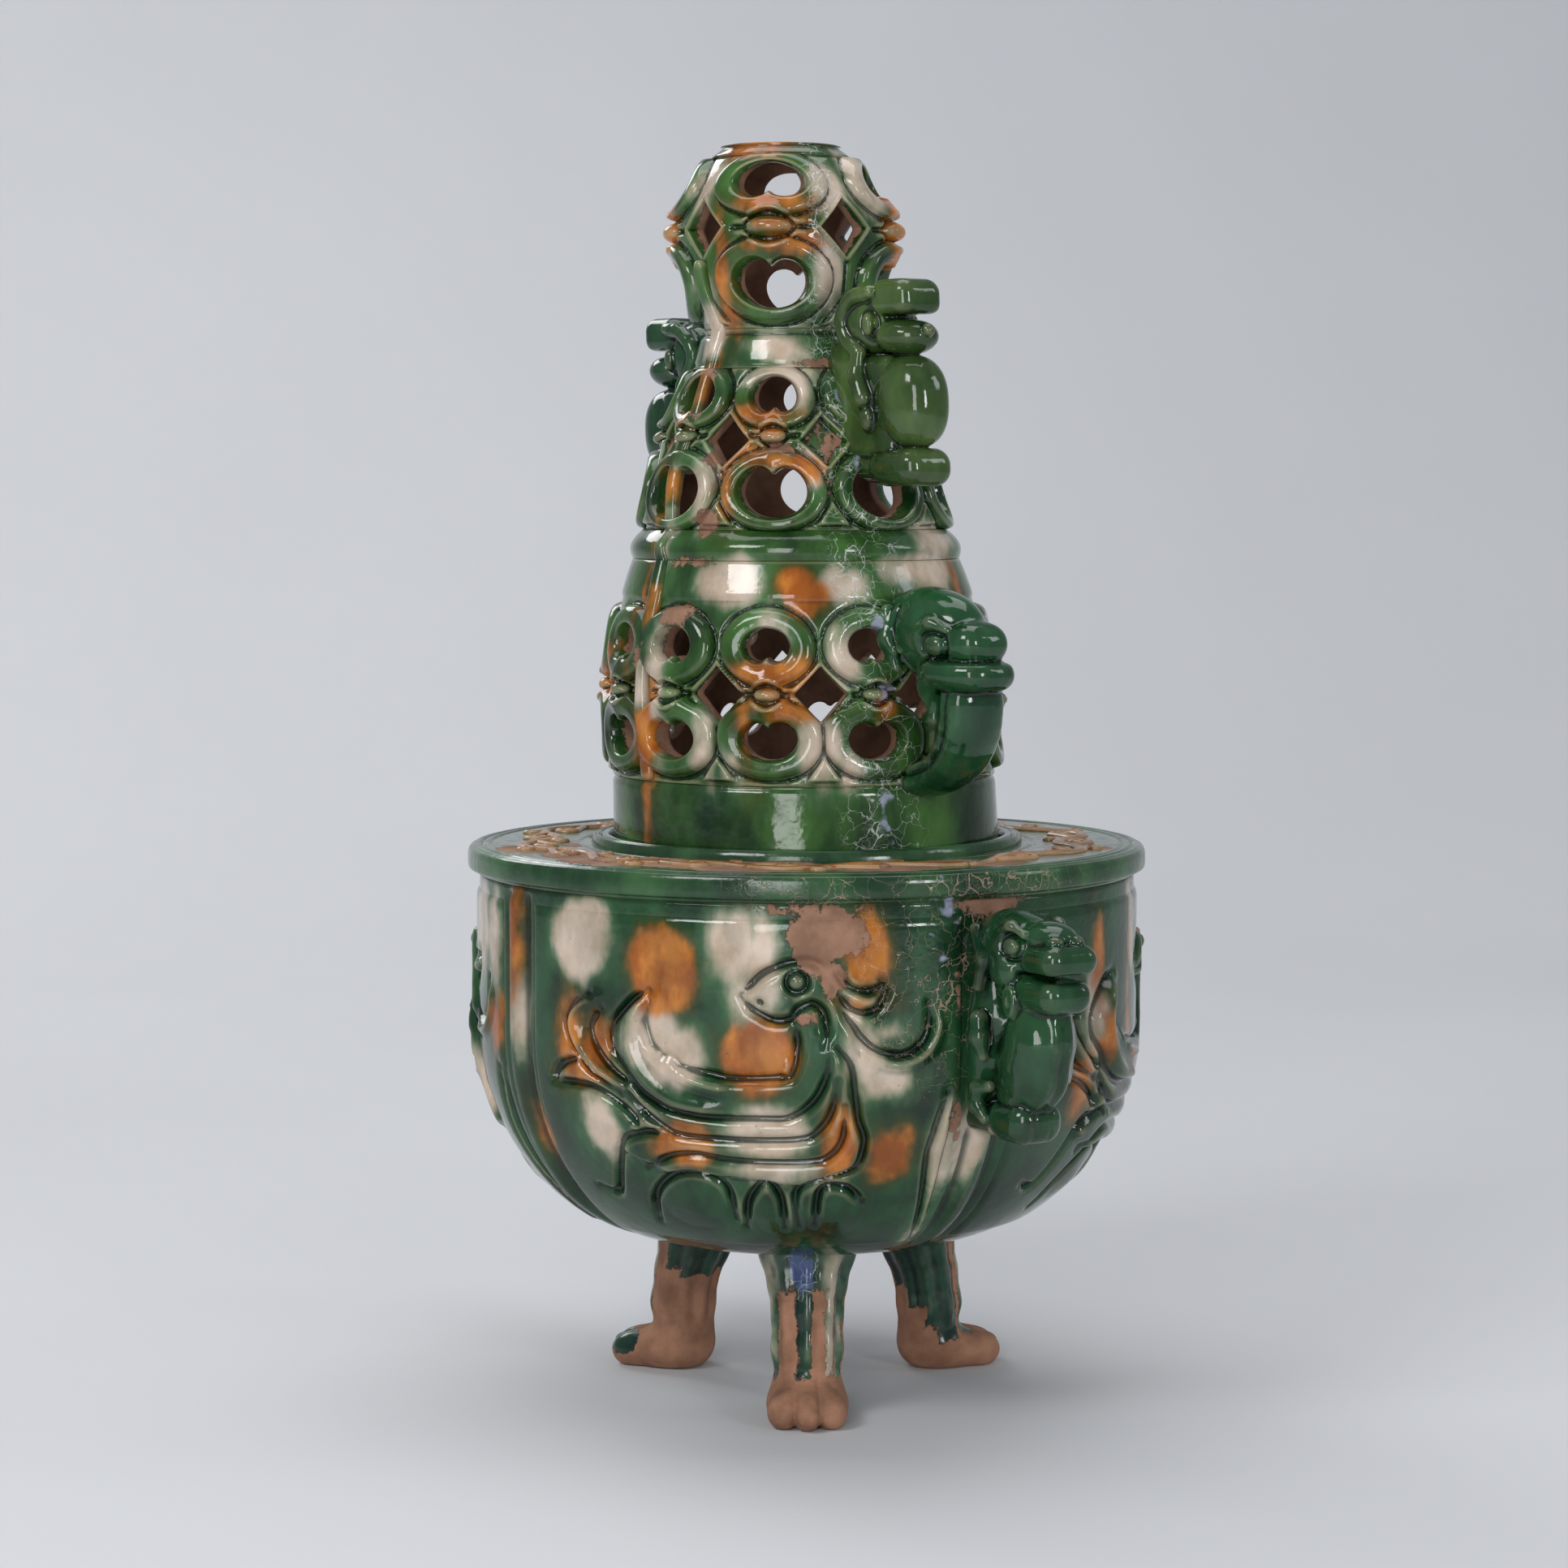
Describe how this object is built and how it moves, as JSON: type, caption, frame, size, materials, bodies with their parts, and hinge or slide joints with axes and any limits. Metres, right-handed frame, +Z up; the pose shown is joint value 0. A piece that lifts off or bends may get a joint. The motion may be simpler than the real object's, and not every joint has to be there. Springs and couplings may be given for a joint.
{
  "type": "tripod incense burner",
  "caption": "Round-bellied incense burner on paw legs, with beast handles, a scroll-bordered shoulder plate and a tall pierced tower cover that lifts off, glazed in green, cream and amber.",
  "frame": {"origin": "on the ground under the bowl's axis, at the centre of the three legs", "axes": "+Z up along the bowl's axis; -Y is the front, where one leg stands; +X is to the right as seen from the front"},
  "size_m": [0.2, 0.2388, 0.366],
  "materials": {
    "green_glaze": "glossy copper-green lead glaze",
    "three_colour_glaze": "glossy lead glazes in green, cream and amber that run together",
    "amber_glaze": "glossy amber lead glaze",
    "bare_clay_leg": "bare fired clay with runs of green glaze at the top"
  },
  "bodies": {
    "bowl": {"bowl_shell": "green_glaze", "shoulder_plate": "green_glaze", "seat_ring": "green_glaze", "scroll_border_front": "amber_glaze", "scroll_border_rear": "amber_glaze", "wall_beast_1": "three_colour_glaze", "wall_beast_2": "three_colour_glaze", "wall_beast_3": "three_colour_glaze", "wall_beast_4": "three_colour_glaze", "leg_front": "bare_clay_leg", "leg_right": "bare_clay_leg", "leg_left": "bare_clay_leg", "bowl_handle_head_right": "green_glaze", "bowl_handle_body_right": "green_glaze", "bowl_handle_paw_right": "green_glaze", "bowl_handle_head_left": "green_glaze", "bowl_handle_body_left": "green_glaze", "bowl_handle_paw_left": "green_glaze"},
    "cover": {"cover_base_band": "green_glaze", "cover_lower_tier": "three_colour_glaze", "cover_belt": "green_glaze", "cover_upper_tier": "three_colour_glaze", "cover_neck": "three_colour_glaze", "cover_dome": "three_colour_glaze", "cover_cap": "amber_glaze", "seam_strip_front": "three_colour_glaze", "seam_strip_rear": "three_colour_glaze", "lower_handle_head_right": "green_glaze", "lower_handle_trunk_right": "green_glaze", "upper_handle_beast_right": "green_glaze", "upper_handle_paw_right": "green_glaze", "lower_handle_head_left": "green_glaze", "lower_handle_trunk_left": "green_glaze", "upper_handle_beast_left": "green_glaze", "upper_handle_paw_left": "green_glaze"}
  },
  "joints": [
    {"name": "cover_lift", "type": "slide", "parent": "bowl", "child": "cover", "axis": [0, 0, 1], "range_m": [0, 0.12]}
  ]
}
